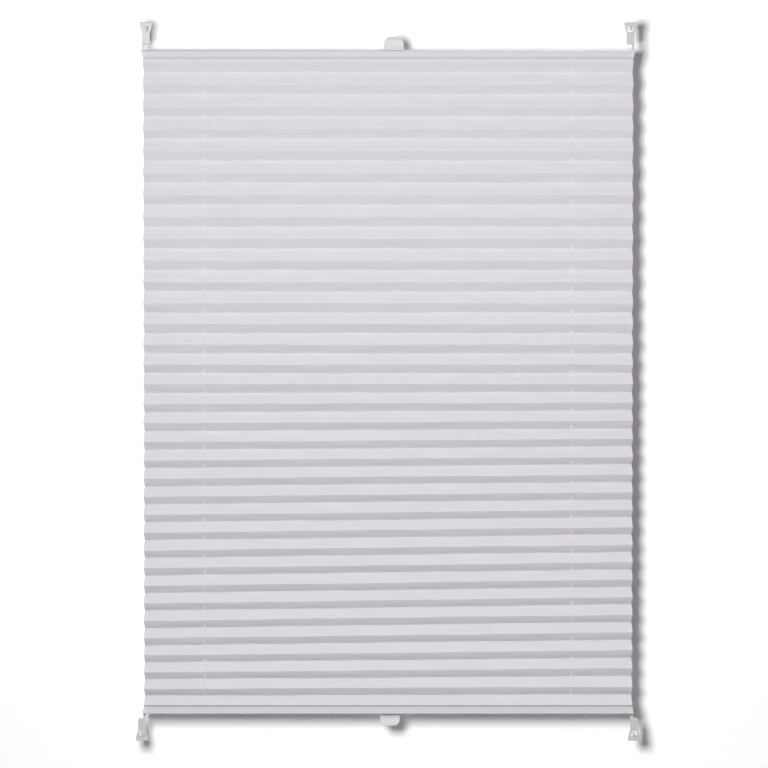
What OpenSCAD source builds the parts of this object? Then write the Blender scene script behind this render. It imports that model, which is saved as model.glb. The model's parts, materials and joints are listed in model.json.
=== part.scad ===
// Pleated blind on two tension cords, with a movable rail at the top and at the bottom.
// X runs across the blind, Y from front to back and Z up. The origin is the middle of the blind.

/* [Blind] */
// Width over the end caps
blind_w = 700; // [500:10:1000]
// Height over both rails
blind_h = 946; // [600:1:1400]

/* [Rails] */
// Depth of a rail, front to back
rail_d = 24; // [22:0.5:30]
// Height of a rail
rail_h = 10.4; // [10:0.2:16]
// Wall of the extrusion
rail_wall = 0.8; // [0.7:0.1:1]
// Depth of the recess along a rail's front and back
face_recess = 0.5; // [0.2:0.1:0.8]
// Height of the beads on either side of the recess
bead_h = 1.9; // [1.4:0.1:2.6]
// Height of the channel that holds the fabric's strip
channel_h = 2.2; // [2.1:0.1:2.8]
// Width of the opening between the channel's lips
mouth_w = 18; // [16:0.5:18.5]
// Width of the slot for the handle
slot_w = 4.4; // [3.6:0.2:6]
// Length of an end cap's plate at the rail's outer side
cap_l = 6; // [5:0.1:8]
// How much shorter the plate is at the fabric's side
cap_taper = 2.5; // [0.5:0.1:3]
// How far an end cap's plug reaches into the rail
plug_l = 10; // [6:1:20]

/* [Pleats] */
// Width of one panel, from fold to fold
panel_w = 20; // [15:0.5:23]
// Thickness of the fabric
fabric_t = 0.4; // [0.3:0.05:0.6]
// Pitch of the top pleat, as a share of its two panels
opening_top = 0.79; // [0.6:0.01:0.88]
// Pitch of the bottom pleat, as a share of its two panels
opening_bottom = 0.63; // [0.45:0.01:0.7]
// Where the opening is halfway between the two, as a share of the pleats from the bottom
opening_half = 0.58; // [0.3:0.01:0.7]
// How sharply the opening changes there
opening_power = 3.2; // [1:0.1:4]
// How much narrower the fabric is than the blind
fabric_inset = 6; // [5:0.5:20]
// Fabric between a rail and its first fold
lead = 3.8; // [2:0.1:8]
// Hole that a cord runs through in each panel
fabric_hole_d = 2.2; // [1.8:0.1:4]

/* [Cords] */
// Diameter of a cord
cord_d = 1.1; // [0.8:0.1:1.2]
// Distance of a cord in the fabric from the end of the rail
cord_inset = 89; // [60:1:150]
// Bore that a cord runs through in the guides, caps and shoes
cord_bore = 2; // [1.8:0.1:2.2]
// Turns of cord on a shoe's post
cord_turns = 3; // [1:1:3]

/* [Shoes] */
// Width of a shoe's body
shoe_w = 11; // [10:0.5:14]
// Depth of a shoe's body
shoe_d = 9; // [8:0.5:11]
// Width of the neck, flush with one side of the body
neck_w = 3.6; // [3.4:0.1:5]
// Length of the neck
neck_l = 6.6; // [4:0.1:10]
// Length of the body
body_l = 16.3; // [12:0.1:24]
// Length of the flare that holds the window
flare_l = 10.6; // [10:0.1:14]
// Width of the flange at the end
flange_w = 17.5; // [15:0.5:22]
// Thickness of the flange
flange_t = 4.5; // [3:0.1:6]
// Gap between a rail and a shoe's neck
shoe_gap = 1.5; // [1.2:0.1:4]

/* [Handles] */
// Width of a handle
handle_w = 28; // [20:1:40]
// Height of a handle over the rail
handle_h = 18.8; // [13:0.2:20]
// Place of the top handle along its rail
top_handle_x = 8; // [-100:0.5:100]
// Place of the bottom handle along its rail
bottom_handle_x = 2.5; // [-100:0.5:100]

/* [Hidden] */
$fn = 48;

// Clearances: between pieces that only lie together, and between pieces that slide.
fit = 0.15;
slide = 0.25;

// How far a cutter reaches past the face it cuts, and how far joined shapes reach into each other.
over = 1;
joint = 0.5;

// Heights in a rail are measured from its fabric side, so both rails share them.
rail_inner = blind_h / 2 - rail_h;
rail_corner = 1;
recess_edge = 0.3;
extrusion_l = blind_w - 2 * cap_l;
chamber_d = rail_d - 2 * (rail_wall + face_recess);
web_bottom = rail_wall + channel_h;
web_top = web_bottom + rail_wall;
wall_bottom = rail_h - rail_wall;

// The strip lies on the channel's lips, and the fabric's end is bonded under it.
strip_t = 1.4;
strip_d = chamber_d - 2 * fit;
strip_hole_d = 3;
flap_at = rail_wall - fit - fabric_t / 2;

// A guide's flange lies on the web, and its shank goes through it.
guide_flange_d = 7;
guide_flange_t = 0.8;
guide_shank_d = 4.4;
guide_below = 0.6;
guide_mouth = 0.6;

// Cords: the places across the blind, and the height of the run inside a rail.
hole_x = blind_w / 2 - cord_inset;
outlet_x = blind_w / 2 - cap_l / 2;
bend_r = 1.6;
run_at = web_top + guide_flange_t + bend_r;
collar_d = 4.4;
collar_h = 0.6;

// In a rail each cord moves aside beyond the plug, to pass the other one, and back before its guide.
run_y = 6;
aside_start = 4;
aside_l = 36;
back_l = 42;
back_end = 8;

// The shoe's own heights are measured from the rail's outer face.
neck_end = shoe_gap;
body_start = neck_end + neck_l;
body_end = body_start + body_l;
flare_end = body_end + flare_l;
shoe_end = flare_end + flange_t;
neck_offset = (shoe_w - neck_w) / 2;
neck_d = 5;
flange_lip = 1;
flange_d = shoe_d + 2 * flange_lip;
flange_edge = 0.6;
flare_rim = 1.5;
neck_r = 0.8;
shoulder_r = 1.2;
body_r = 2;
rim_r = 0.6;
under_r = 0.5;
end_r = 1;
post_d = 3;
window_w = 7.6;
window_floor = 1.4;
window_roof = 0.8;
post_foot = 2;
window_start = body_end + window_floor;
window_end = flare_end - window_roof;
post_start = window_start + post_foot;
coil_slack = 0.07;
coil_margin = 0.2;
coil_r = post_d / 2 + cord_d / 2 + coil_slack;
coil_end = window_end - cord_d / 2 - coil_margin;
coil_spacing = 1.1;
coil_pitch = coil_spacing * cord_d;
coil_steps = 12;
rib_w = 1;
rib_depth = 0.5;
rib_margin = 1.6;

// Handle: foot in the rail's chamber, neck in the slot, base and blade outside.
foot_d = 9;
foot_t = 1.4;
foot_inset = 3;
foot_l = handle_w - 2 * foot_inset;
base_d = 11;
base_t = 1.4;
base_corner = 0.4;
blade_t = 2.4;
blade_front = -1;
scoop = 2.6;
scoop_r = 10;
lip_d = 3.6;
lip_y = 0.6;

// Pleats: the pitch falls in one soft step from the upper pleats to the lower ones.
fabric_w = blind_w - fabric_inset;
first_fold = rail_inner - lead;
half_odds = opening_half / (1 - opening_half);
mean_opening = opening_bottom + (opening_top - opening_bottom) * (1 - opening_half);
pleats = round(2 * first_fold / (2 * panel_w * mean_opening));
openings = [
    for (i = [0 : pleats - 1])
        let (above = (i + 0.5) / pleats, below = 1 - above)
        opening_bottom + (opening_top - opening_bottom) / (1 + pow(half_odds * above / below, opening_power))
];
stretch = 2 * first_fold / (2 * panel_w * sum(openings));
widest_opening = 0.98;
pitches = [for (o = openings) 2 * panel_w * min(o * stretch, widest_opening)];
depths = [for (p = pitches) sqrt(pow(panel_w, 2) - pow(p / 2, 2))];
flap_margin = 1;
flap = min(depths[0] / 2, mouth_w / 2 - flap_margin);

// Points and paths
function sum(list, i = 0) = i == len(list) ? 0 : list[i] + sum(list, i + 1);
function unit(v) = v / norm(v);

// Turns vector a towards vector b of the same length, by a share of the angle between them.
function turned(a, b, share) =
    let (angle = acos(unit(a) * unit(b)))
    (sin((1 - share) * angle) * a + sin(share * angle) * b) / sin(angle);

// An arc of radius r that rounds the corner at b between a and c.
function corner(a, b, c, r, steps) =
    r == 0 ? [b] :
    let (
        u = unit(a - b),
        w = unit(c - b),
        half = acos(u * w) / 2,
        reach = r / tan(half),
        centre = b + unit(u + w) * r / sin(half)
    )
    [for (k = [0 : steps]) centre + turned(b + u * reach - centre, b + w * reach - centre, k / steps)];

// A closed outline with each corner rounded by its own radius.
function rounded(points, radii, steps = 6) =
    let (n = len(points))
    [for (i = [0 : n - 1]) each corner(points[(i + n - 1) % n], points[i], points[(i + 1) % n], radii[i], steps)];

// An open path with its corners rounded.
function eased(points, r, steps = 4) =
    let (last = len(points) - 1)
    [
        points[0],
        for (i = [1 : last - 1]) each corner(points[i - 1], points[i], points[i + 1], r, steps),
        points[last],
    ];

// Directions along a path, one for each point.
function headings(path) =
    let (last = len(path) - 1)
    [for (i = [0 : last]) unit(path[min(i + 1, last)] - path[max(i - 1, 0)])];

// Normals carried along a path without twisting.
function carried(dirs, normal, i = 0) =
    i == len(dirs) ? [] :
    let (n = unit(normal - dirs[i] * (normal * dirs[i])))
    concat([n], carried(dirs, n, i + 1));

// A round cord along a path.
module tube(path, d, sides = 8) {
    dirs = headings(path);
    normals = carried(dirs, [0, 1, 0]);
    last = len(path) - 1;
    points = [
        for (i = [0 : last], k = [0 : sides - 1])
            let (a = 360 * k / sides)
            path[i] + d / 2 * (cos(a) * normals[i] + sin(a) * cross(dirs[i], normals[i]))
    ];
    walls = [
        for (i = [0 : last - 1], k = [0 : sides - 1])
            let (next = (k + 1) % sides)
            [i * sides + k, (i + 1) * sides + k, (i + 1) * sides + next, i * sides + next]
    ];
    start = [for (k = [0 : sides - 1]) k];
    end = [for (k = [sides - 1 : -1 : 0]) last * sides + k];
    polyhedron(points, concat([start], walls, [end]), convexity = 10);
}

// Placing: a rail's pieces are drawn once, with their height from the rail's fabric side.
module at_top() { translate([0, 0, rail_inner]) children(); }
module at_bottom() { mirror([0, 0, 1]) at_top() children(); }
module at_right() { mirror([1, 0, 0]) children(); }

// A profile in Y and Z drawn along X, centred.
module along_x(length) {
    rotate([90, 0, 90]) translate([0, 0, -length / 2]) linear_extrude(length) children();
}

// An outline in X and Z drawn along Y, centred.
module along_y(depth) {
    rotate([90, 0, 0]) translate([0, 0, -depth / 2]) linear_extrude(depth) children();
}

// A rectangle from a height upward, centred across.
module band(w, from, to) { translate([-w / 2, from]) square([w, to - from]); }

// Rails
module rail_outline() {
    face = rail_d / 2;
    back = face - face_recess;
    low = bead_h;
    high = rail_h - bead_h;
    polygon(rounded(
        [
            [-face, 0], [face, 0],
            [face, low], [back, low + face_recess], [back, high - face_recess], [face, high],
            [face, rail_h], [-face, rail_h],
            [-face, high], [-back, high - face_recess], [-back, low + face_recess], [-face, low],
        ],
        [
            rail_corner, rail_corner, recess_edge, recess_edge, recess_edge, recess_edge,
            rail_corner, rail_corner, recess_edge, recess_edge, recess_edge, recess_edge,
        ],
        4
    ));
}

// The channel for the strip, open at the fabric's side.
module channel() {
    band(mouth_w, -over, web_bottom - channel_h / 2);
    band(chamber_d, rail_wall, web_bottom);
}

module rail() {
    color("#dcdbe0") difference() {
        along_x(extrusion_l) difference() {
            rail_outline();
            channel();
            band(chamber_d, web_top, wall_bottom);
            band(slot_w, wall_bottom - over, rail_h + over);
        }
        for (x = [-hole_x, hole_x])
            translate([x, 0, web_bottom - over])
                cylinder(d = guide_shank_d + 2 * fit, h = rail_wall + 2 * over);
    }
}

// The left cap: a tapered plate with the channel left open, so that the fabric and its strip
// reach the blind's end, a plug in the chamber, and a bore that turns up to the outlet.
module left_cap() {
    inner = extrusion_l / 2;
    outer = blind_w / 2;
    color("#e2e1e5") difference() {
        union() {
            intersection() {
                translate([-(inner + outer) / 2, 0, 0]) along_x(cap_l) difference() {
                    rail_outline();
                    channel();
                }
                along_y(rail_d + 2 * over) polygon([
                    [-inner, -over], [-inner, rail_h + over], [-outer, rail_h + over], [-outer, rail_h],
                    [-outer + cap_taper, 0], [-outer + cap_taper, -over],
                ]);
            }
            translate([-inner - joint, -chamber_d / 2 + fit, web_top + fit])
                cube([plug_l + joint, chamber_d - 2 * fit, wall_bottom - web_top - 2 * fit]);
            translate([-outlet_x, 0, rail_h - joint]) cylinder(d = collar_d, h = collar_h + joint);
        }
        translate([-outlet_x, 0, run_at - cord_bore / 2]) cylinder(d = cord_bore, h = rail_h);
        translate([-outlet_x, 0, run_at]) rotate([0, 90, 0]) cylinder(d = cord_bore, h = plug_l + cap_l);
    }
}

// The strip that carries the fabric's end.
module strip() {
    color("#e6e6e6") difference() {
        translate([-fabric_w / 2, -strip_d / 2, rail_wall]) cube([fabric_w, strip_d, strip_t]);
        for (x = [-hole_x, hole_x])
            translate([x, 0, 0]) cylinder(d = strip_hole_d, h = rail_h);
    }
}

// The left guide, turned about the cord's own line.
module left_guide() {
    bore_r = cord_bore / 2;
    bottom = web_bottom - guide_below;
    top = web_top + guide_flange_t;
    color("#f0f0ee") translate([-hole_x, 0, 0]) rotate_extrude() polygon([
        [bore_r, bottom], [guide_shank_d / 2, bottom], [guide_shank_d / 2, web_top],
        [guide_flange_d / 2, web_top], [guide_flange_d / 2, top],
        for (a = [0 : 15 : 90])
            [bore_r + guide_mouth * (1 - sin(a)), top - guide_mouth * (1 - cos(a))],
    ]);
}

// Handle: foot and neck in the slot, base on the rail, and a scooped blade that ends in a lip.
module handle() {
    foot_top = wall_bottom - slide;
    base_bottom = rail_h + slide;
    base_top = base_bottom + base_t;
    tip = rail_h + handle_h;
    blade_top = tip - lip_d / 2;
    middle = (base_top + blade_top) / 2;
    front = [blade_front, blade_front + scoop, lip_y];
    heights = [base_top - joint, middle, blade_top];
    color("#e4e3e6") {
        translate([-foot_l / 2, -foot_d / 2, foot_top - foot_t]) cube([foot_l, foot_d, foot_t]);
        translate([-foot_l / 2, -slot_w / 2 + slide, foot_top - joint])
            cube([foot_l, slot_w - 2 * slide, base_bottom - foot_top + 2 * joint]);
        intersection() {
            along_y(rail_d) polygon(rounded(
                [
                    [-handle_w / 2, base_bottom], [handle_w / 2, base_bottom],
                    [handle_w / 2, tip], [-handle_w / 2, tip],
                ],
                [base_corner, base_corner, handle_h / 2, handle_h / 2], 10
            ));
            along_x(handle_w + 2 * over) {
                band(base_d, base_bottom, base_top);
                polygon(rounded(
                    [
                        for (i = [0 : 2]) [front[i], heights[i]],
                        for (i = [2 : -1 : 0]) [front[i] + blade_t, heights[i]],
                    ],
                    [0, scoop_r, 0, 0, scoop_r, 0]
                ));
                translate([lip_y + joint, blade_top]) circle(d = lip_d);
            }
        }
    }
}

// Fabric: the fold line of the sheet in Y and Z, from the top strip to the bottom one.
function fold_line() =
    let (
        flap_z = rail_inner + flap_at,
        ridge_z = [for (i = [0 : pleats]) first_fold - sum([for (k = [0 : 1 : i - 1]) pitches[k]])],
        ridge_y = [for (i = [0 : pleats]) -(depths[max(i - 1, 0)] + depths[min(i, pleats - 1)]) / 4]
    )
    [
        [flap, flap_z],
        [-flap, flap_z],
        for (i = [0 : pleats - 1]) each [
            [ridge_y[i], ridge_z[i]],
            [depths[i] / 2, (ridge_z[i] + ridge_z[i + 1]) / 2],
        ],
        [ridge_y[pleats], ridge_z[pleats]],
        [-flap, -flap_z],
        [flap, -flap_z],
    ];

// One side of a sheet of thickness 2 * away whose middle is the given line.
function beside(line, away) =
    let (last = len(line) - 1)
    [
        for (i = [0 : last])
            let (
                before = unit(line[max(i, 1)] - line[max(i, 1) - 1]),
                after = unit(line[min(i + 1, last)] - line[min(i, last - 1)]),
                side_a = [-before[1], before[0]],
                side_b = [-after[1], after[0]],
                mid = unit(side_a + side_b)
            )
            line[i] + mid * away / (mid * side_a)
    ];

module pleated_fabric() {
    line = fold_line();
    front = beside(line, fabric_t / 2);
    back = beside(line, -fabric_t / 2);
    last = len(line) - 1;
    color("#dddce1") difference() {
        along_x(fabric_w) polygon(concat(front, [for (i = [last : -1 : 0]) back[i]]));
        for (x = [-hole_x, hole_x])
            translate([x, 0, -blind_h / 2]) cylinder(d = fabric_hole_d, h = blind_h);
    }
}

// Cords: one half of the left cord's route, from its turns on a shoe's post to the far hole.
// The shoe's body lies on one side of the outlet, which side says: 1 inward, -1 outward.
function turns_on_post(side) =
    [
        for (k = [cord_turns * coil_steps : -1 : 0])
            let (a = 360 * k / coil_steps)
            [
                -outlet_x + side * (neck_offset - coil_r * cos(a)),
                coil_r * sin(a),
                rail_h + coil_end - coil_pitch * (cord_turns - k / coil_steps),
            ]
    ];

function half_route(side) =
    let (
        coil_x = -outlet_x + side * (neck_offset - coil_r),
        aside_x = -extrusion_l / 2 + plug_l + aside_start,
        back_x = hole_x - back_end
    )
    concat(turns_on_post(side), eased([
        [coil_x, 0, rail_h + post_start + cord_d / 2],
        [-outlet_x, 0, rail_h + window_start + cord_d],
        [-outlet_x, 0, run_at],
        [aside_x, 0, run_at],
        [aside_x + aside_l, -run_y, run_at],
        [back_x - back_l, -run_y, run_at],
        [back_x, 0, run_at],
        [hole_x, 0, run_at],
        [hole_x, 0, 0],
    ], bend_r));

function cord_route() =
    let (
        down = [for (p = half_route(1)) p + [0, 0, rail_inner]],
        up = [for (p = half_route(-1)) [p[0], p[1], -p[2] - rail_inner]],
        last = len(up) - 1
    )
    concat(down, [for (i = [last : -1 : 0]) up[i]]);

module left_cord() { color("#efefef") tube(cord_route(), cord_d); }

module right_cord() { rotate([0, 0, 180]) left_cord(); }

// Shoe: the body's middle is at x = 0 and the neck is at its left.
module shoe_outline() {
    body = shoe_w / 2;
    head = flange_w / 2 - flange_edge;
    polygon(rounded(
        [
            [-body, neck_end], [-body + neck_w, neck_end], [-body + neck_w, body_start],
            [body, body_start], [body, body_end], [head, flare_end - flare_rim], [head, flare_end],
            [flange_w / 2, flare_end], [flange_w / 2, shoe_end], [-flange_w / 2, shoe_end],
            [-flange_w / 2, flare_end], [-head, flare_end], [-head, flare_end - flare_rim],
            [-body, body_end],
        ],
        [
            neck_r, neck_r, shoulder_r, body_r, body_r, rim_r, 0,
            under_r, end_r, end_r, under_r, 0, rim_r, body_r,
        ]
    ));
}

module shoe_section() {
    polygon(rounded(
        [
            [-neck_d / 2, neck_end], [neck_d / 2, neck_end], [neck_d / 2, body_start],
            [shoe_d / 2, body_start], [shoe_d / 2, flare_end], [flange_d / 2, flare_end],
            [flange_d / 2, shoe_end], [-flange_d / 2, shoe_end], [-flange_d / 2, flare_end],
            [-shoe_d / 2, flare_end], [-shoe_d / 2, body_start], [-neck_d / 2, body_start],
        ],
        [
            neck_r, neck_r, rim_r, shoulder_r, 0, under_r,
            end_r, end_r, under_r, 0, shoulder_r, rim_r,
        ]
    ));
}

module shoe_ribs() {
    for (x = [-shoe_w / 4, 0, shoe_w / 4], y = [-1, 1])
        translate([x, y * shoe_d / 2, (body_start + body_end) / 2])
            cube([rib_w, 2 * rib_depth, body_l - 2 * rib_margin], center = true);
}

module shoe() {
    color("#e9e9ea") {
        difference() {
            intersection() {
                along_y(flange_d + 2 * over) shoe_outline();
                along_x(flange_w + 2 * over) shoe_section();
            }
            along_y(flange_d + 2 * over) polygon(rounded(
                [
                    [-window_w / 2, window_start], [window_w / 2, window_start],
                    [window_w / 2, window_end], [-window_w / 2, window_end],
                ],
                [2, 2, 0.6, 0.6]
            ));
            translate([-neck_offset, 0, neck_end - over])
                cylinder(d = cord_bore, h = post_start - neck_end + over);
            shoe_ribs();
        }
        translate([0, 0, post_start]) cylinder(d = post_d, h = window_end - post_start + joint);
    }
}

// The body lies inward of its outlet at the top, and outward at the bottom, where the moulding is turned over.
module top_left_shoe() { at_top() translate([-outlet_x + neck_offset, 0, rail_h]) shoe(); }
module bottom_left_shoe() { at_bottom() translate([-outlet_x - neck_offset, 0, rail_h]) at_right() shoe(); }

at_top() rail();  // top_rail
at_bottom() rail();  // bottom_rail
at_top() left_cap();  // top_left_cap
at_right() at_top() left_cap();  // top_right_cap
at_bottom() left_cap();  // bottom_left_cap
at_right() at_bottom() left_cap();  // bottom_right_cap
at_top() strip();  // top_strip
at_bottom() strip();  // bottom_strip
at_top() left_guide();  // top_left_guide
at_right() at_top() left_guide();  // top_right_guide
at_bottom() left_guide();  // bottom_left_guide
at_right() at_bottom() left_guide();  // bottom_right_guide
at_top() translate([top_handle_x, 0, 0]) handle();  // top_handle
at_bottom() translate([bottom_handle_x, 0, 0]) handle();  // bottom_handle
pleated_fabric();
left_cord();
right_cord();
top_left_shoe();
at_right() top_left_shoe();  // top_right_shoe
bottom_left_shoe();
at_right() bottom_left_shoe();  // bottom_right_shoe
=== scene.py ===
import json
import math

import bpy
import numpy as np
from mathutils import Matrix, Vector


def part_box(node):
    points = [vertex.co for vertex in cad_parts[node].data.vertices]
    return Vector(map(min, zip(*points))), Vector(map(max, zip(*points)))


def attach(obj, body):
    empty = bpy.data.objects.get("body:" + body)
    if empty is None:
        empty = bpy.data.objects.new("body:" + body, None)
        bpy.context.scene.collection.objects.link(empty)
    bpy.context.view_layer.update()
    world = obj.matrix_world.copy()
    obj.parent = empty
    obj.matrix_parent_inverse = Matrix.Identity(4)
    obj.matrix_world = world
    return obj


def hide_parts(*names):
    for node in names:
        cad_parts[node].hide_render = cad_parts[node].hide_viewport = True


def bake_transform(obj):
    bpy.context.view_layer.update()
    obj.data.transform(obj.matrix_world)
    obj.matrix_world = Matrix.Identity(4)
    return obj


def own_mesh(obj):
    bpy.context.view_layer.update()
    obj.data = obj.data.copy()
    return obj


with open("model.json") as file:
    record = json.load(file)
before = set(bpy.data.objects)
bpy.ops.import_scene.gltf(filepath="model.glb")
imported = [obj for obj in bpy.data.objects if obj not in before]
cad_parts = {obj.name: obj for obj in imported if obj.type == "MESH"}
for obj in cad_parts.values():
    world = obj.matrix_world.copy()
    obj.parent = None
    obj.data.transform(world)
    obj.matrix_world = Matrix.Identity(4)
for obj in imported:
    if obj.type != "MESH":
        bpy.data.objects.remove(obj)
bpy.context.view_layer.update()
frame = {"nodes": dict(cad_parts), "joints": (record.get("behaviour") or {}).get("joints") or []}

# Camera: a long lens far in front of the blind and a little above it, so that the rails stay
# parallel and more of each panel that faces up is seen than of each one that faces down.
VIEW_DISTANCE = 16.0
VIEW_ELEVATION = math.radians(5.5)
IMAGE = 768
METRES_PER_PIXEL = 0.001421
BLIND_CENTRE_PX = (388.1, 382.4)

lens = bpy.data.cameras.new("camera")
lens.sensor_width = 36.0
lens.lens = lens.sensor_width * VIEW_DISTANCE / (IMAGE * METRES_PER_PIXEL)
lens.shift_x = (IMAGE / 2 - BLIND_CENTRE_PX[0]) / IMAGE
lens.shift_y = (BLIND_CENTRE_PX[1] - IMAGE / 2) / IMAGE
lens.clip_end = 40.0
camera = bpy.data.objects.new("camera", lens)
camera.location = (
    0.0,
    -VIEW_DISTANCE * math.cos(VIEW_ELEVATION),
    VIEW_DISTANCE * math.sin(VIEW_ELEVATION),
)
camera.rotation_euler = (math.pi / 2 - VIEW_ELEVATION, 0.0, 0.0)
bpy.context.scene.collection.objects.link(camera)
bpy.context.scene.camera = camera


# Pleated fabric: one sheet of fine polyester, heat-set into a zigzag of equal panels, with a
# hole punched down through the folded stack for each cord. Its ends are bonded under strips in
# the rails, and its own weight opens the upper pleats more than the lower ones.
PANEL = 0.020
OPENING_TOP = 0.79
OPENING_BOTTOM = 0.63
OPENING_HALF = 0.58
OPENING_POWER = 3.2
PLEATS = 33
END_PANELS = 2
LEAD = 0.0038
FOLD_DROP = 0.0020
FABRIC_THICKNESS = 0.0004
RIDGE_CREASE = 0.035
VALLEY_CREASE = 0.01
PANEL_ARCH = 0.0022
ARCH_AT_TOP = 0.4
UNDERSIDE_ARCH = 0.35
TOP_LEAD_DEPTH = -0.0010
BOTTOM_LEAD_DEPTH = -0.0045
HOLE_RADIUS = 0.0011
HOLE_RING = np.array([-0.707, -0.383, 0, 0.383, 0.707])
HOLE_SURROUND = 2
HOLE_CLEARANCE = 2.5
FOLD_WANDER = 0.00016
WANDER_ACROSS = (9.1, 23.0, 57.0)
WANDER_DOWN = (2.4, 1.7, 5.1)
FOLD_TILT = 0.0185
TILT_START = 0.6
TILT_END = 6
EDGE_FLARE = 0.3
SPLIT_PLEAT = 15
PANEL_ROWS = np.array([0, 0.012, 0.028, 0.05, 0.12, 0.24, 0.38])
FABRIC_COLUMNS = 52

fabric_low, fabric_high = (np.array(corner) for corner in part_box("pleated_fabric"))
fabric_width = fabric_high[0] - fabric_low[0]
flap_height = fabric_high[2] - FABRIC_THICKNESS / 2
rail_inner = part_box("top_rail")[0].z
rail_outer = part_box("top_rail")[1].z
first_fold = rail_inner - LEAD
hole_x = sum(corner.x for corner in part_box("top_right_guide")) / 2


def fold_line():
    """Corners of the folded sheet as depth and height, from the top flap to the bottom one.

    A pleat's pitch is its opening times two panels, and the opening falls from the top pleat to
    the bottom one in a soft step: the step's odds are a power of the odds of the height. The
    depth is what is left of a panel's length. The sheet's weight drops the stack a little, so
    that the lead is longer at the top rail than at the bottom one.
    """
    above = (np.arange(PLEATS) + 0.5) / PLEATS
    odds = OPENING_HALF / (1 - OPENING_HALF) * above / (1 - above)
    opening = OPENING_BOTTOM + (OPENING_TOP - OPENING_BOTTOM) / (1 + odds**OPENING_POWER)
    pitch = opening * 2 * first_fold / opening.sum()
    depth = np.sqrt(PANEL**2 - (pitch / 2) ** 2)
    ridge_height = first_fold - FOLD_DROP - np.concatenate([[0], np.cumsum(pitch)])
    ridge_depth = -(np.append(depth[0], depth) + np.append(depth, depth[-1])) / 4
    valley_height = (ridge_height[:-1] + ridge_height[1:]) / 2
    corners = np.empty((2 * PLEATS + 1, 2))
    corners[0::2] = np.stack([ridge_depth, ridge_height], axis=1)
    corners[1::2] = np.stack([depth / 2, valley_height], axis=1)
    flap = depth[0] / 2
    top = [(flap, flap_height), (TOP_LEAD_DEPTH, flap_height)]
    bottom = [(BOTTOM_LEAD_DEPTH, -flap_height), (flap, -flap_height)]
    return np.concatenate([top, corners, bottom])


def creased(line, at):
    """Points of the sheet's section at panel numbers, with each corner of the line rounded.

    Near a corner the point runs on a parabola whose control point is the corner, and beyond it on
    the straight panel. A ridge is rounded by more of its panels than a valley.
    """
    corner = np.clip(np.round(at).astype(int), 0, len(line) - 1)
    offset = (at - corner)[:, None]
    after = line[np.minimum(corner + 1, len(line) - 1)] - line[corner]
    before = line[np.maximum(corner - 1, 0)] - line[corner]
    towards = np.where(offset >= 0, after, before)
    other = np.where(offset >= 0, before, after)
    crease = np.where(corner % 2 == 0, RIDGE_CREASE, VALLEY_CREASE)[:, None]
    share = np.minimum(1, 0.5 + 0.5 * np.abs(offset) / crease)
    beyond = np.maximum(0, np.abs(offset) - crease)
    rounded = crease * ((1 - share) ** 2 * other + share**2 * towards)
    return line[corner] + rounded + beyond * towards


def surface(name, grid, uv, around=False, cut=None):
    """A mesh object from a grid of points, where each cell between four neighbours is one face.

    around joins the last column to the first and closes both ends, as on a cord, and cut is a
    mask of the cells that are left out. An edge with one face is a cut edge, and stays sharp.
    """
    rows, columns = grid.shape[:2]
    numbers = np.arange(rows * columns).reshape(rows, columns)
    if around:
        numbers = np.concatenate([numbers, numbers[:, :1]], axis=1)
    corners = [numbers[:-1, :-1], numbers[:-1, 1:], numbers[1:, 1:], numbers[1:, :-1]]
    quads = np.stack(corners, axis=-1)
    spots = np.stack([uv[:-1, :-1], uv[:-1, 1:], uv[1:, 1:], uv[1:, :-1]], axis=2)
    if cut is not None:
        quads = quads[~cut]
        spots = spots[~cut]
    quads = quads.reshape(-1, 4)
    used, quads = np.unique(quads, return_inverse=True)
    faces = quads.reshape(-1, 4).tolist()
    spots = spots.reshape(-1, 2)
    if around:
        faces.append(numbers[0, -2::-1].tolist())
        faces.append(numbers[-1, :-1].tolist())
        spots = np.concatenate([spots, uv[0, -2::-1], uv[-1, :-1]])
    mesh = bpy.data.meshes.new(name)
    mesh.from_pydata(grid.reshape(-1, 3)[used], [], faces)
    mesh.uv_layers.new(name="UVMap").data.foreach_set("uv", spots.ravel())
    mesh.polygons.foreach_set("use_smooth", np.ones(len(faces), bool))
    mesh.update()
    edge_numbers = np.empty(len(mesh.loops), np.int32)
    mesh.loops.foreach_get("edge_index", edge_numbers)
    faces_at_edge = np.bincount(edge_numbers, minlength=len(mesh.edges))
    mesh.edges.foreach_set("use_edge_sharp", faces_at_edge == 1)
    piece = bpy.data.objects.new(name, mesh)
    bpy.context.scene.collection.objects.link(piece)
    return piece


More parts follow.
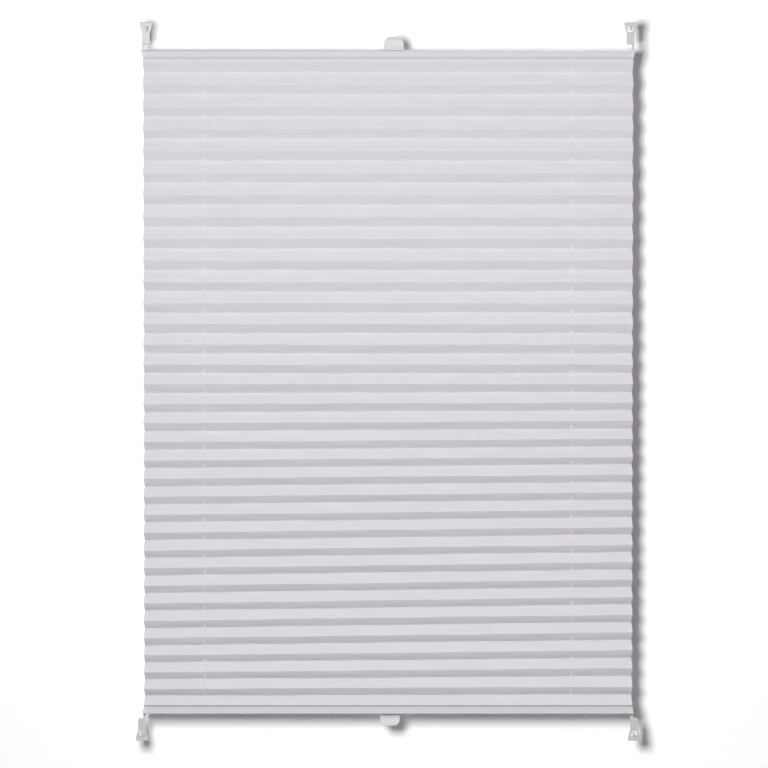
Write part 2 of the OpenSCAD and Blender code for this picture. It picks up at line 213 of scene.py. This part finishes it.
def fabric_grid():
    """The whole sheet as a grid: rows run down over the panels and columns run across.

    The section is the creased fold line, with each panel bowed in a parabola, up where it faces
    up and down where it faces down. The bow grows towards the bottom, where the pleats are
    stretched less. The rows and columns through a hole lie at HOLE_RING times its radius, the
    sines of 0, 22.5 and 45 degrees. The outer ones are pulled onto a circle seen from above, and
    the cells inside it are cut.
    """
    line = fold_line()
    panels = len(line) - 1
    split = END_PANELS + 2 * SPLIT_PLEAT
    lead_panels = [1, panels - 2]
    lean = np.abs(np.diff(line[:, 0]))
    lean[lead_panels] = PANEL
    rim_step = len(HOLE_RING) // 2
    above = np.broadcast_to(PANEL_ROWS, (panels, len(PANEL_ROWS)))
    beside_hole = 0.5 + HOLE_RING * HOLE_RADIUS / lean[:, None]
    fractions = np.concatenate([above, beside_hole, 1 - above[:, :0:-1]], axis=1)
    per_panel = fractions.shape[1]
    middle = len(PANEL_ROWS) + rim_step
    at = np.append((np.arange(panels)[:, None] + fractions).ravel(), panels)
    depth_at = np.append(np.repeat(lean, per_panel), lean[-1])[:, None]
    plain = np.linspace(-fabric_width / 2, fabric_width / 2, FABRIC_COLUMNS)
    holes = np.array([-hole_x, hole_x])
    to_hole = np.abs(plain[:, None] - holes).min(axis=1)
    plain = plain[to_hole > HOLE_CLEARANCE * HOLE_RADIUS]
    steps = np.append(HOLE_RING, [-HOLE_SURROUND, HOLE_SURROUND])
    rim = (holes[:, None] + steps * HOLE_RADIUS).ravel()
    across = np.sort(np.concatenate([plain, rim]))
    rows = np.arange(len(at))
    in_row = np.abs(rows % per_panel - middle)
    lead = np.isin(rows // per_panel, lead_panels + [panels])
    hole_columns = np.array([np.argmin(np.abs(across - x)) for x in holes])
    distance = np.abs(np.arange(len(across))[:, None] - hole_columns)
    in_column = distance.min(axis=1)
    nearest = holes[np.argmin(distance, axis=1)]
    block = np.maximum(np.where(lead, per_panel, in_row)[:, None], in_column)
    row_place = np.broadcast_to(at[:, None], block.shape).copy()
    column_place = np.broadcast_to(across, block.shape).copy()
    centre = (np.floor(at) + 0.5)[:, None]
    down = (row_place - centre) * depth_at
    side = column_place - nearest
    reach = np.maximum(np.hypot(down, side), 1e-9)
    on_rim = block == rim_step
    on_circle = centre + down / reach * HOLE_RADIUS / depth_at
    row_place = np.where(on_rim, on_circle, row_place)
    column_place = np.where(on_rim, nearest + side / reach * HOLE_RADIUS, column_place)
    inside = block < rim_step
    cut = inside[:-1, :-1] | inside[1:, :-1] | inside[:-1, 1:] | inside[1:, 1:]
    section = creased(line, row_place.ravel()).reshape(*block.shape, 2)
    down_share = (row_place - END_PANELS) / (panels - 2 * END_PANELS)
    on_panel = np.where((down_share > 0) & (down_share < 1), row_place % 1, 0)
    arch = PANEL_ARCH * (ARCH_AT_TOP + (1 - ARCH_AT_TOP) * down_share)
    arch = arch * np.where(np.floor(row_place) % 2 == 1, 1, -UNDERSIDE_ARCH)
    section[..., 1] += arch * 4 * on_panel * (1 - on_panel)
    return column_place, section, row_place, cut, split * per_panel


# Below the split the folds sink to one side, by a tilt that is nothing at the split and at the
# bottom rail. All folds wander by a fraction of a millimetre, and at the sides the front folds
# reach a little further out than the back ones.
column_place, section, row_place, hole_cells, split_row = fabric_grid()
split_height = section[split_row, 0, 1]
fall = np.clip((split_height - section[..., 1]) / (split_height + first_fold), 0, 1)
tilt = FOLD_TILT * fall**TILT_START * (1 - fall**TILT_END)
last_fold = END_PANELS + 2 * PLEATS
held = np.clip(np.minimum(row_place - END_PANELS, last_fold - row_place), 0, 1)
held = held * np.clip(np.abs(row_place - row_place[split_row, 0]), 0, 1)
wander = sum(
    np.sin(across * column_place + down * row_place)
    for across, down in zip(WANDER_ACROSS, WANDER_DOWN)
)
fabric_points = np.stack(
    [
        column_place * (1 - EDGE_FLARE * section[..., 0]),
        section[..., 0] + FOLD_WANDER * held * wander,
        section[..., 1] + tilt * column_place + FOLD_WANDER * held * wander[:, ::-1],
    ],
    axis=-1,
)
fabric_uv = np.stack([column_place, -row_place * PANEL], axis=-1)
fabric_length = 2 * PLEATS * PANEL + 2 * (LEAD + fabric_high[1] - fabric_low[1])


class Value:
    """One shader value. Arithmetic on it adds Math nodes, and node() adds any other node."""

    def __init__(self, tree, socket=None):
        self.tree = tree
        self.socket = socket

    def node(self, kind, settings, sockets, output=0):
        """A node of one type: its settings are made first, then its sockets are set or linked."""
        made = self.tree.nodes.new(kind)
        for name, setting in settings.items():
            setattr(made, name, setting)
        for name, value in sockets.items():
            if isinstance(value, Value):
                self.tree.links.new(value.socket, made.inputs[name])
            else:
                made.inputs[name].default_value = value
        return Value(self.tree, made.outputs[output])

    def math(self, operation, first, second=0.0):
        return self.node("ShaderNodeMath", {"operation": operation}, {0: first, 1: second})

    def __add__(self, other):
        return self.math("ADD", self, other)

    def __sub__(self, other):
        return self.math("SUBTRACT", self, other)

    def __rsub__(self, other):
        return self.math("SUBTRACT", other, self)

    def __mul__(self, other):
        return self.math("MULTIPLY", self, other)

    __radd__ = __add__
    __rmul__ = __mul__

    def sine(self):
        return self.math("SINE", self)

    def mixed(self, first, second):
        """A colour between two, with this value as the share of the second.

        The Mix node has sockets of the same name for each kind of value, so its colours are
        given by number.
        """
        sockets = {"Factor": self, 6: first, 7: second}
        return self.node("ShaderNodeMix", {"data_type": "RGBA"}, sockets, output=2)

    def feeds(self, shader, name):
        self.tree.links.new(self.socket, shader.inputs[name])


def finish(name):
    """A new material, its main shader, and a value to build its pattern from."""
    material = bpy.data.materials.new(name)
    material.use_nodes = True
    return material, material.node_tree.nodes["Principled BSDF"], Value(material.node_tree)


def bumped(height, shader, depth, strength=1.0):
    """Raises a surface by a height from 0 to 1 times a depth in metres."""
    sockets = {"Height": height, "Distance": depth, "Strength": strength}
    height.node("ShaderNodeBump", {}, sockets).feeds(shader, "Normal")


def pleated_polyester():
    """Plain weave in threads of about a third of a millimetre, some thicker than others."""
    thread = 0.00036
    light = (0.690, 0.671, 0.703, 1)
    dark = (0.659, 0.640, 0.671, 1)
    material, shader, value = finish("pleated_polyester")
    cloth = value.node("ShaderNodeUVMap", {"uv_map": "UVMap"}, {})
    split = {"Vector": cloth}
    across = value.node("ShaderNodeSeparateXYZ", {}, split, output="X")
    along = value.node("ShaderNodeSeparateXYZ", {}, split, output="Y")
    weave = (across * (math.pi / thread)).sine() * (along * (math.pi / thread)).sine()
    thread_scale = (30.0, 1800.0, 1.0)
    stretched = value.node("ShaderNodeMapping", {}, {"Vector": cloth, "Scale": thread_scale})
    slub = value.node("ShaderNodeTexNoise", {}, {"Vector": stretched, "Scale": 1.0, "Detail": 2.0})
    mottle = value.node("ShaderNodeTexNoise", {}, {"Vector": cloth, "Scale": 18.0, "Detail": 3.0})
    shade = weave * 0.12 + slub * 0.5 + mottle * 0.4
    shade.mixed(dark, light).feeds(shader, "Base Color")
    (slub * 0.12 + 0.78).feeds(shader, "Roughness")
    bumped(weave * 0.35 + slub * 0.5, shader, depth=0.00004)
    shader.inputs["Sheen Weight"].default_value = 0.08
    shader.inputs["Specular IOR Level"].default_value = 0.25
    return material


polyester = pleated_polyester()
travel = {joint["name"]: max(joint["range_m"]) for joint in frame["joints"]}
upper_keep = 1 - travel["top_rail_slide"] / (flap_height - split_height)
lower_keep = 1 - travel["bottom_rail_slide"] / (flap_height + split_height)
halves = {
    "fabric_upper": (
        slice(None, split_row + 1),
        slice(None, split_row),
        "top_rail_slide",
        upper_keep,
    ),
    "fabric_lower": (
        slice(split_row, None),
        slice(split_row, None),
        "bottom_rail_slide",
        lower_keep,
    ),
}
for name, (rows, cells, slide, keep) in halves.items():
    half = surface(name, fabric_points[rows], fabric_uv[rows], cut=hole_cells[cells])
    half.data.materials.append(polyester)
    layer = half.modifiers.new("thickness", "SOLIDIFY")
    layer.thickness = FABRIC_THICKNESS
    layer.offset = 0.0
    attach(half, "cord_frame")
    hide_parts("pleated_fabric")
    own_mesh(half)
    half_share = row_place[rows].max() - row_place[rows].min()
    half_length = fabric_length * half_share / (2 * PLEATS + 2 * END_PANELS)
    carrier = "top_strip" if slide == "top_rail_slide" else "bottom_strip"


# Tension cords: two braided cords. Each is wound on the post of a top shoe, crosses inside the top
# rail, runs down through the fabric's far holes, and crosses back in the bottom rail to the shoe
# below, so that the rails stay level as they slide.
CORD_RADIUS = 0.00055
CORD_SIDES = 10
CAP_LENGTH = 0.006
PLUG_LENGTH = 0.010
RUN_TOP = 0.003
RUN_HEIGHT = 0.0062
RUN_DEPTH = 0.006
RUN_FOOT = 0.0035
ASIDE_START = 0.004
ASIDE_END = 0.040
BACK_START = 0.050
BACK_END = 0.008
BEND = 0.0016
DROP_IN_RAIL = 0.006
DROP_RINGS = 60
SHOE_GAP = 0.0015
COLLAR = 0.0006
GAP_IN_SHOE = 0.003
GAP_IN_RAIL = 0.004
GAP_STEP = 0.00003
GAP_RINGS = 32
GAP_END_RINGS = 4
BODY_START = 0.0081
WINDOW_START = 0.0258
POST_START = 0.0278
COIL_END = 0.03345
COIL_PITCH = 0.00121
COIL_RADIUS = 0.00212
COIL_TURNS = 3
TURN_STEPS = 24
COIL_FOOT = 0.002
NECK_OFFSET = 0.0037
outlet_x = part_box("top_right_cap")[1].x - CAP_LENGTH / 2
extrusion_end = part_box("top_rail")[1].x


def eased(points, rounds=3):
    """A path with its corners cut: each round puts points at a quarter and at three quarters."""
    path = np.array(points, float)
    for _ in range(rounds):
        quarter = 0.75 * path[:-1] + 0.25 * path[1:]
        three_quarters = 0.25 * path[:-1] + 0.75 * path[1:]
        inner = np.stack([quarter, three_quarters], axis=1)
        path = np.concatenate([path[:1], inner.reshape(-1, 3), path[-1:]])
    return path


def straight(start, end, rings):
    """Evenly spaced points from one place to another."""
    share = np.linspace(0, 1, rings)[:, None]
    return np.array(start) + share * (np.array(end) - np.array(start))


def cord_piece(name, path, beside):
    """A round cord along a path: rings across its direction, turned by a vector beside it."""
    along = np.gradient(path, axis=0)
    along = along / np.linalg.norm(along, axis=1, keepdims=True)
    side = np.broadcast_to(beside, path.shape)
    side = side - along * (side * along).sum(axis=1, keepdims=True)
    side = side / np.linalg.norm(side, axis=1, keepdims=True)
    other = np.cross(along, side)
    turn = np.linspace(0, 2 * math.pi, CORD_SIDES, endpoint=False)[None, :, None]
    outward = np.cos(turn) * side[:, None] + np.sin(turn) * other[:, None]
    rings = path[:, None] + CORD_RADIUS * outward
    steps = np.linalg.norm(np.diff(path, axis=0), axis=1)
    length = np.concatenate([[0], np.cumsum(steps)])
    round_it, down = np.meshgrid(np.linspace(0, 1, CORD_SIDES + 1), length)
    piece = surface(name, rings, np.stack([round_it, down], axis=-1), around=True)
    piece.data.materials.append(braided_cord)
    return piece


def braid():
    """Strands that cross in two directions round the cord, four each way."""
    light = (0.81, 0.79, 0.82, 1)
    dark = (0.68, 0.665, 0.69, 1)
    lay_length = 0.0022
    strands = 4 * 2 * math.pi
    lay = 2 * math.pi / lay_length
    material, shader, value = finish("braided_cord")
    uv = {"Vector": value.node("ShaderNodeUVMap", {"uv_map": "UVMap"}, {})}
    around = value.node("ShaderNodeSeparateXYZ", {}, uv, output="X") * strands
    along = value.node("ShaderNodeSeparateXYZ", {}, uv, output="Y") * lay
    upper = value.math("MAXIMUM", (around + along).sine(), (around - along).sine())
    raised_and_shade = upper * 0.5 + 0.5
    # The colour follows the strands' height: the grooves between them are painted darker, as
    # painted shade, and the raised strands lighter.
    raised_and_shade.mixed(dark, light).feeds(shader, "Base Color")
    (0.85 - raised_and_shade * 0.15).feeds(shader, "Roughness")
    bumped(raised_and_shade, shader, depth=0.00008)
    return material


def on_post(post_x, towards):
    """The turns on a shoe's post, from the top one down, as heights over the rail's outer face."""
    turn = np.linspace(2 * math.pi * COIL_TURNS, 0, TURN_STEPS * COIL_TURNS + 1)
    height = COIL_END - COIL_PITCH * (COIL_TURNS - turn / (2 * math.pi))
    across = post_x - towards * COIL_RADIUS * np.cos(turn)
    return np.stack([across, COIL_RADIUS * np.sin(turn), height], axis=1)


def at_outlet(height):
    """A place on the line from a shoe into its rail, by its height over the rail's outer face."""
    return (-outlet_x, 0, rail_outer + height)


braided_cord = braid()
through_rail = [
    (-outlet_x, 0, rail_outer - rail_inner - RUN_TOP),
    (-outlet_x, 0, RUN_HEIGHT + BEND),
    (-outlet_x, 0, RUN_HEIGHT),
    (-outlet_x + BEND, 0, RUN_HEIGHT),
    (-extrusion_end + PLUG_LENGTH + ASIDE_START, 0, RUN_HEIGHT),
    (-extrusion_end + PLUG_LENGTH + ASIDE_END, -RUN_DEPTH, RUN_HEIGHT),
    (hole_x - BACK_START, -RUN_DEPTH, RUN_HEIGHT),
    (hole_x - BACK_END, 0, RUN_HEIGHT),
    (hole_x - BEND, 0, RUN_HEIGHT),
    (hole_x, 0, RUN_HEIGHT),
    (hole_x, 0, RUN_HEIGHT - BEND),
    (hole_x, 0, RUN_FOOT),
]
for cord, turned in (("left_cord", 1), ("right_cord", -1)):
    spin = np.array([turned, turned, 1.0])
    pieces = []
    for rail, up, slide, keep in (
        ("top", 1, "top_rail_slide", upper_keep),
        ("bottom", -1, "bottom_rail_slide", lower_keep),
    ):
        body = f"{rail}_rail"
        flip = spin * np.array([1, 1, up])
        post_x = -outlet_x + up * NECK_OFFSET
        lead_in = [
            (post_x - up * COIL_RADIUS, 0, POST_START + CORD_RADIUS),
            (-outlet_x, 0, WINDOW_START + 2 * CORD_RADIUS),
            (-outlet_x, 0, BODY_START + COIL_FOOT),
        ]
        wound = np.concatenate([on_post(post_x, up), eased(lead_in)]) + (0, 0, rail_outer)
        radial = wound * (1, 1, 0) - (post_x, 0, 0)
        coil = cord_piece(f"{cord}_{rail}_coil", wound * flip, radial * flip)
        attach(coil, "cord_frame")
        gap_path = np.concatenate([
            straight(at_outlet(BODY_START + GAP_IN_SHOE), at_outlet(SHOE_GAP), GAP_END_RINGS),
            straight(at_outlet(SHOE_GAP - GAP_STEP), at_outlet(COLLAR), GAP_RINGS),
            straight(at_outlet(0), at_outlet(-GAP_IN_RAIL), GAP_END_RINGS),
        ])
        gap = cord_piece(f"{cord}_{rail}_gap", gap_path * flip, (1, 0, 0))
        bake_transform(gap)
        run = eased(through_rail) + (0, 0, rail_inner)
        crossing = cord_piece(f"{cord}_{rail}_run", run * flip, (0, 1, 0))
        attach(crossing, body)
        drop_start = (hole_x, 0, rail_inner + DROP_IN_RAIL)
        down = straight(drop_start, (hole_x, 0, up * split_height), DROP_RINGS)
        drop = cord_piece(f"{cord}_{rail}_drop", down * flip, (1, 0, 0))
        # The photo shows no shadow of the cords on the pleats, so the drops throw none.
        drop.visible_shadow = False
        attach(drop, "cord_frame")
        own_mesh(drop)
        pieces += [coil, gap, crossing, drop]
    for piece in pieces:
        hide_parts(cord)


# Rails: two aluminium extrusions with a channel for the fabric, a closed chamber for the cords
# and a slot for the handle, powder-coated white.
def coat(node, material):
    """Gives a carried-over piece its finish."""
    slots = frame["nodes"][node].data.materials
    slots.clear()
    slots.append(material)


def powder_coat():
    """Satin white paint with the fine ripple that a sprayed and baked coat has."""
    light = (0.572, 0.56, 0.587, 1)
    dark = (0.552, 0.54, 0.567, 1)
    material, shader, value = finish("white_powder_coat")
    place = value.node("ShaderNodeTexCoord", {}, {}, output="Object")
    ripple = value.node("ShaderNodeTexNoise", {}, {"Vector": place, "Scale": 900.0, "Detail": 2.0})
    cloud = value.node("ShaderNodeTexNoise", {}, {"Vector": place, "Scale": 14.0, "Detail": 3.0})
    cloud.mixed(dark, light).feeds(shader, "Base Color")
    (ripple * 0.10 + cloud * 0.08 + 0.46).feeds(shader, "Roughness")
    bumped(ripple, shader, depth=0.00003, strength=0.6)
    shader.inputs["Specular IOR Level"].default_value = 0.3
    return material


rail_finish = powder_coat()
for rail in ("top_rail", "bottom_rail"):
    coat(rail, rail_finish)


# End caps and handles: white injection-moulded plastic with a fine eroded grain. The caps plug
# into the rails' ends and let the cords out, and the handles clip into the rails' slots.
def moulded_plastic(name, light, dark, roughness, grain_depth):
    """Moulded plastic: a fine grain on a slow change of tone."""
    material, shader, value = finish(name)
    place = value.node("ShaderNodeTexCoord", {}, {}, output="Object")
    grain = value.node("ShaderNodeTexNoise", {}, {"Vector": place, "Scale": 2600.0, "Detail": 2.0})
    flow = value.node("ShaderNodeTexNoise", {}, {"Vector": place, "Scale": 60.0, "Detail": 2.0})
    flow.mixed(dark, light).feeds(shader, "Base Color")
    (grain * 0.12 + flow * 0.08 + roughness).feeds(shader, "Roughness")
    bumped(grain, shader, grain_depth, strength=0.6)
    shader.inputs["Specular IOR Level"].default_value = 0.35
    return material


grained = moulded_plastic(
    "grained_white_plastic",
    light=(0.605, 0.595, 0.61, 1),
    dark=(0.575, 0.565, 0.58, 1),
    roughness=0.42,
    grain_depth=0.00003,
)
ends = [f"{rail}_{side}" for rail in ("top", "bottom") for side in ("left", "right")]
for node in [f"{end}_cap" for end in ends] + ["top_handle", "bottom_handle"]:
    coat(node, grained)


# Strips and cord guides: flat extruded plastic strips that carry the fabric's ends in the rails'
# channels, and turned-over nylon eyelets in the rails' webs that the cords bend through.
strip_plastic = moulded_plastic(
    "strip_plastic",
    light=(0.66, 0.66, 0.66, 1),
    dark=(0.62, 0.62, 0.62, 1),
    roughness=0.5,
    grain_depth=0.00002,
)
nylon = moulded_plastic(
    "natural_nylon",
    light=(0.68, 0.67, 0.63, 1),
    dark=(0.64, 0.63, 0.60, 1),
    roughness=0.35,
    grain_depth=0.00001,
)
for rail in ("top", "bottom"):
    coat(f"{rail}_strip", strip_plastic)
for end in ends:
    coat(f"{end}_guide", nylon)


# Tension shoes: four like mouldings in smooth white plastic, with a ribbed body, a flared head
# and a window round the post that the spare cord is wound on. Each seats on the window's frame.
smooth = moulded_plastic(
    "smooth_white_plastic",
    light=(0.508, 0.495, 0.511, 1),
    dark=(0.478, 0.465, 0.481, 1),
    roughness=0.28,
    grain_depth=0.00001,
)
for end in ends:
    coat(f"{end}_shoe", smooth)


# Stage: a white wall close behind the blind, open from the back, a pale floor far below, a large
# soft lamp at the upper left, a weaker one behind that shows the blind's back, and a white room.
WALL_DEPTH = 0.049
WALL_REACH = 4.0
FLOOR_HEIGHT = -1.75
FLOOR_WIDTH = 2.4
FLOOR_FRONT = -1.0
FRONT_LAMP = {
    "place": (-0.68, -3.2, 0.68),
    "aim": (0.99, 1.0, -0.42),
    "size": 1.0,
    "watts": 141.0,
}
BACK_LAMP = {
    "place": (0.70, 3.2, 1.30),
    "aim": (-0.22, -1.0, -0.41),
    "size": 1.2,
    "watts": 42.0,
}
ROOM_LIGHT = 0.065
WALL_GLOW = (0.022, 0.015, 0.025, 1)


def plane(name, corners):
    """A flat stage piece from its four corners."""
    mesh = bpy.data.meshes.new(name)
    mesh.from_pydata(corners, [], [(0, 1, 2, 3)])
    piece = bpy.data.objects.new(name, mesh)
    bpy.context.scene.collection.objects.link(piece)
    return piece


def seen(value):
    """1 for a ray that the camera, a gloss or a clear surface sends, and 0 for any other ray."""
    kinds = ("Is Camera Ray", "Is Glossy Ray", "Is Transmission Ray")
    return sum(value.node("ShaderNodeLightPath", {}, {}, output=kind) for kind in kinds)


def stage_white(name):
    """Matt white paint that is clear from behind and throws no shadow, so the back lamp shines in.

    Rays that the camera or a gloss sends see it a little brighter than the lamp makes it, so that
    it is white, with a faint tint in the shadow. The light that it gives back to the blind stays
    as it is.
    """
    material, shader, value = finish(name)
    shader.inputs["Base Color"].default_value = (0.98, 0.98, 0.98, 1)
    shader.inputs["Roughness"].default_value = 1.0
    shader.inputs["Specular IOR Level"].default_value = 0.0
    seen(value).mixed((0, 0, 0, 1), WALL_GLOW).feeds(shader, "Emission Color")
    shader.inputs["Emission Strength"].default_value = 1.0
    behind = value.node("ShaderNodeNewGeometry", {}, {}, output="Backfacing")
    shading = value.node("ShaderNodeLightPath", {}, {}, output="Is Shadow Ray")
    open_to = value.math("MAXIMUM", behind, shading)
    clear = value.node("ShaderNodeBsdfTransparent", {}, {})
    front = Value(material.node_tree, shader.outputs[0])
    shown = value.node("ShaderNodeMixShader", {}, {0: open_to, 1: front, 2: clear})
    shown.feeds(material.node_tree.nodes["Material Output"], "Surface")
    return material


wall = plane("wall", [
    (-WALL_REACH, WALL_DEPTH, FLOOR_HEIGHT), (WALL_REACH, WALL_DEPTH, FLOOR_HEIGHT),
    (WALL_REACH, WALL_DEPTH, WALL_REACH), (-WALL_REACH, WALL_DEPTH, WALL_REACH),
])
floor = plane("floor", [
    (-FLOOR_WIDTH / 2, FLOOR_FRONT, FLOOR_HEIGHT), (FLOOR_WIDTH / 2, FLOOR_FRONT, FLOOR_HEIGHT),
    (FLOOR_WIDTH / 2, WALL_DEPTH, FLOOR_HEIGHT), (-FLOOR_WIDTH / 2, WALL_DEPTH, FLOOR_HEIGHT),
])
white_paint = stage_white("white_paint")
wall.data.materials.append(white_paint)
floor.data.materials.append(white_paint)


def soft_lamp(name, place, aim, size, watts):
    """A square lamp at a place, turned to shine along a direction."""
    light = bpy.data.lights.new(name, "AREA")
    light.size = size
    light.energy = watts
    lamp = bpy.data.objects.new(name, light)
    lamp.location = place
    along = np.array(aim) / np.linalg.norm(aim)
    lamp.rotation_euler = (math.acos(-along[2]), 0.0, math.atan2(along[1], along[0]) - math.pi / 2)
    bpy.context.scene.collection.objects.link(lamp)


soft_lamp("front_lamp", **FRONT_LAMP)
soft_lamp("back_lamp", **BACK_LAMP)

room = bpy.data.worlds.new("room")
room.use_nodes = True
background = room.node_tree.nodes["Background"]
(seen(Value(room.node_tree)) * (1 - ROOM_LIGHT) + ROOM_LIGHT).feeds(background, "Color")
background.inputs["Strength"].default_value = 1.0
bpy.context.scene.world = room
bpy.context.scene.view_settings.view_transform = "Standard"
